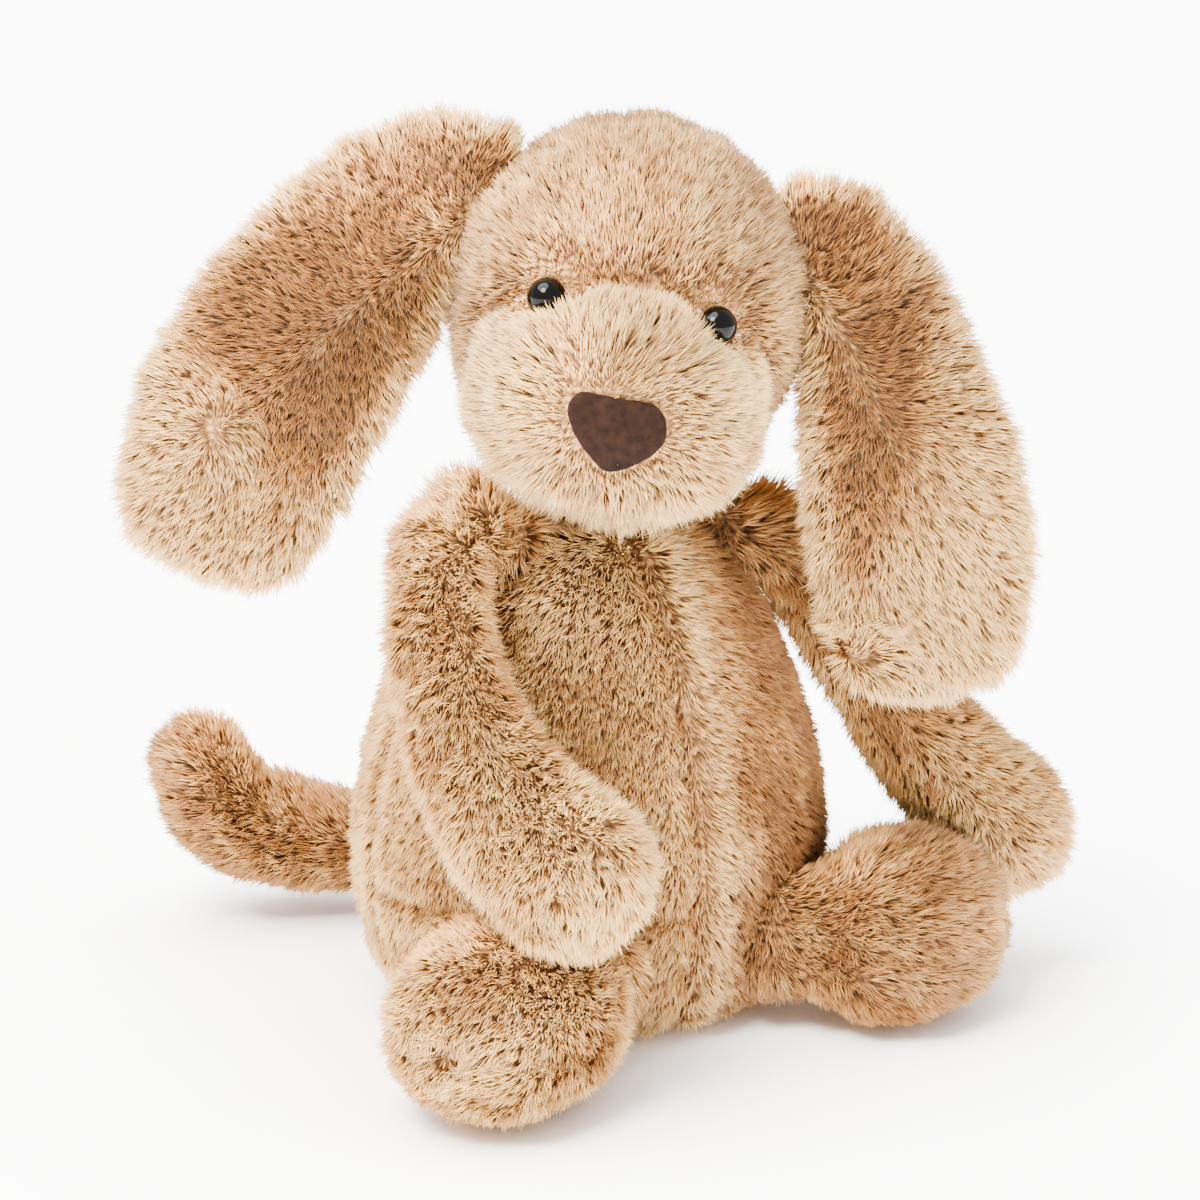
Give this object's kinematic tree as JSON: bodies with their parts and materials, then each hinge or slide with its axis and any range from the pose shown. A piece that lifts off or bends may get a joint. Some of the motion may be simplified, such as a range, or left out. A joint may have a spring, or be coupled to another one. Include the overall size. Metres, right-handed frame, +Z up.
{
  "type": "plush dog",
  "caption": "Seated plush dog with long-pile fur, large floppy ears, hanging arms, a curled tail, glossy eyes and a suede nose; ears and limbs hinge.",
  "frame": {"origin": "middle of the torso's flat sitting face, on the surface it sits on", "axes": "+Z up, the torso faces -Y, +X is the dog's left"},
  "size_m": [0.2076, 0.1815, 0.2053],
  "materials": {
    "plush": "long-pile golden beige plush",
    "ear_lining": "long-pile plush with dark roots",
    "base_cloth": "short-pile plush",
    "stuffing": "polyester fibre filling",
    "bean_pouch": "cloth pouch of plastic beans",
    "nose": "dark brown suede cloth",
    "eye": "glossy black",
    "washer": "natural white plastic",
    "label": "woven ribbon, blank"
  },
  "bodies": {
    "torso": {"torso_front_panel_left": "plush", "torso_front_panel_right": "plush", "torso_back_panel_left": "plush", "torso_back_panel_right": "plush", "torso_base_panel": "base_cloth", "seat_bean_pouch": "bean_pouch", "torso_stuffing": "stuffing", "care_label": "label"},
    "neck": {"neck_skin": "plush", "neck_stuffing": "stuffing"},
    "head": {"head_side_panel_right": "plush", "head_side_panel_left": "plush", "head_crown_panel": "plush", "head_chin_panel": "plush", "head_stuffing": "stuffing", "eye_right": "eye", "eye_washer_right": "washer", "eye_left": "eye", "eye_washer_left": "washer", "nose_patch": "nose"},
    "arm_right": {"arm_right_outer_panel": "plush", "arm_right_inner_panel": "plush", "arm_right_stuffing": "stuffing"},
    "leg_right": {"leg_right_upper_panel": "plush", "leg_right_lower_panel": "plush", "leg_right_stuffing": "stuffing", "leg_right_bean_pouch": "bean_pouch"},
    "ear_right": {"ear_right_outer_panel": "plush", "ear_right_lining": "ear_lining", "ear_right_filling": "stuffing"},
    "arm_left": {"arm_left_outer_panel": "plush", "arm_left_inner_panel": "plush", "arm_left_stuffing": "stuffing"},
    "leg_left": {"leg_left_upper_panel": "plush", "leg_left_lower_panel": "plush", "leg_left_stuffing": "stuffing", "leg_left_bean_pouch": "bean_pouch"},
    "ear_left": {"ear_left_outer_panel": "plush", "ear_left_lining": "ear_lining", "ear_left_filling": "stuffing"},
    "tail": {"tail_upper_panel": "plush", "tail_lower_panel": "plush", "tail_stuffing": "stuffing"}
  },
  "joints": [
    {"name": "neck_turn", "type": "hinge", "parent": "torso", "child": "neck", "pos_m": [0.002, -0.006, 0.1297], "axis": [0, 0, 1], "range_deg": [-25, 20]},
    {"name": "head_nod", "type": "hinge", "parent": "neck", "child": "head", "pos_m": [0.002, -0.006, 0.1297], "axis": [0.8703, -0.4628, -0.1685], "range_deg": [-15, 25]},
    {"name": "arm_right_swing", "type": "hinge", "parent": "torso", "child": "arm_right", "pos_m": [-0.02667, -0.0047, 0.11], "axis": [-1, 0, 0], "range_deg": [0, 70]},
    {"name": "arm_left_swing", "type": "hinge", "parent": "torso", "child": "arm_left", "pos_m": [0.03295, -0.00581, 0.105], "axis": [0, -1, 0], "range_deg": [0, 70]},
    {"name": "leg_right_swing", "type": "hinge", "parent": "torso", "child": "leg_right", "pos_m": [-0.02518, -0.04029, 0.0209], "axis": [0, 0, 1], "range_deg": [-5, 15]},
    {"name": "leg_left_swing", "type": "hinge", "parent": "torso", "child": "leg_left", "pos_m": [0.0281, -0.03868, 0.0209], "axis": [0, 0, -1], "range_deg": [-5, 35]},
    {"name": "tail_lift", "type": "hinge", "parent": "torso", "child": "tail", "pos_m": [-0.00889, 0.05043, 0.0147], "axis": [0.9536, 0.3011, 0], "range_deg": [0, 35]},
    {"name": "ear_right_flop", "type": "hinge", "parent": "head", "child": "ear_right", "pos_m": [-0.02414, 0.0009, 0.18994], "axis": [-0.2685, 0.0407, -0.9624], "range_deg": [-20, 35]},
    {"name": "ear_left_flop", "type": "hinge", "parent": "head", "child": "ear_left", "pos_m": [0.03497, -0.03053, 0.17849], "axis": [-0.1112, -0.043, -0.9929], "range_deg": [-30, 25]}
  ]
}
